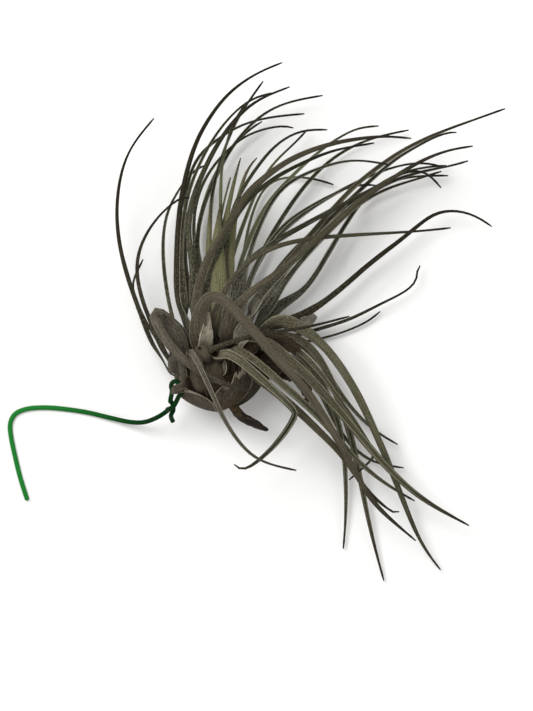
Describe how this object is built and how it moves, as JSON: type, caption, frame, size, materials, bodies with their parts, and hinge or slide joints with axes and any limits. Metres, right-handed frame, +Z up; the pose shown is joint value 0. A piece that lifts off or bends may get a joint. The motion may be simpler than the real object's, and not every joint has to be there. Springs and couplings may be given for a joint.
{
  "type": "air plant",
  "caption": "Air plant with a bulb of old sheaths, long tapering channelled leaves swept to one side, and a stiff green hanging wire.",
  "frame": {"origin": "middle of the object's box, on the surface it lies on", "axes": "+Z up from the surface, +Y the way the rosette opens, +X the side that the leaves sweep to"},
  "size_m": [0.2001, 0.2079, 0.0575],
  "materials": {
    "leaf": "dark grey-green leaf with a velvety grey fuzz",
    "heart_leaf": "young yellow-green leaf with fine fuzz",
    "dry_sheath": "dry, papery grey-brown sheath",
    "woody_crown": "rough dark brown bark",
    "green_wire": "green plastic coating on garden wire"
  },
  "bodies": {
    "root": {"crown": "woody_crown", "dry_flap": "dry_sheath", "hanger_wire": "green_wire", "heart_leaves": "heart_leaf", "leaf_drooping_01": "leaf", "leaf_drooping_02": "leaf", "leaf_drooping_03": "leaf", "leaf_drooping_04": "leaf", "leaf_drooping_05": "leaf", "leaf_drooping_06": "leaf", "leaf_drooping_07": "leaf", "leaf_drooping_08": "leaf", "leaf_drooping_09": "leaf", "leaf_drooping_10": "leaf", "leaf_folded_01": "leaf", "leaf_folded_02": "leaf", "leaf_folded_03": "leaf", "leaf_front_arch": "leaf", "leaf_left_01": "leaf", "leaf_left_02": "leaf", "leaf_left_03": "leaf", "leaf_left_04": "leaf", "leaf_left_05": "leaf", "leaf_left_06": "leaf", "leaf_left_07": "leaf", "leaf_left_08": "leaf", "leaf_left_09": "leaf", "leaf_left_10": "leaf", "leaf_left_11": "leaf", "leaf_left_12": "leaf", "leaf_left_13": "leaf", "leaf_middle_01": "leaf", "leaf_middle_02": "leaf", "leaf_middle_03": "leaf", "leaf_middle_04": "leaf", "leaf_middle_05": "leaf", "leaf_middle_06": "leaf", "leaf_middle_07": "leaf", "leaf_middle_08": "leaf", "leaf_right_01": "leaf", "leaf_right_02": "leaf", "leaf_right_03": "leaf", "leaf_right_04": "leaf", "leaf_right_05": "leaf", "leaf_right_06": "leaf", "leaf_right_07": "leaf", "leaf_right_08": "leaf", "leaf_right_09": "leaf", "leaf_right_10": "leaf", "leaf_right_11": "leaf", "leaf_right_12": "leaf", "leaf_right_13": "leaf", "leaf_right_14": "leaf", "leaf_right_15": "leaf", "old_sheath_back_left": "dry_sheath", "old_sheath_back_right": "dry_sheath", "old_sheath_bowl": "dry_sheath", "old_sheath_dome": "dry_sheath", "old_sheath_front": "dry_sheath", "old_sheath_spoon": "dry_sheath"}
  },
  "joints": []
}
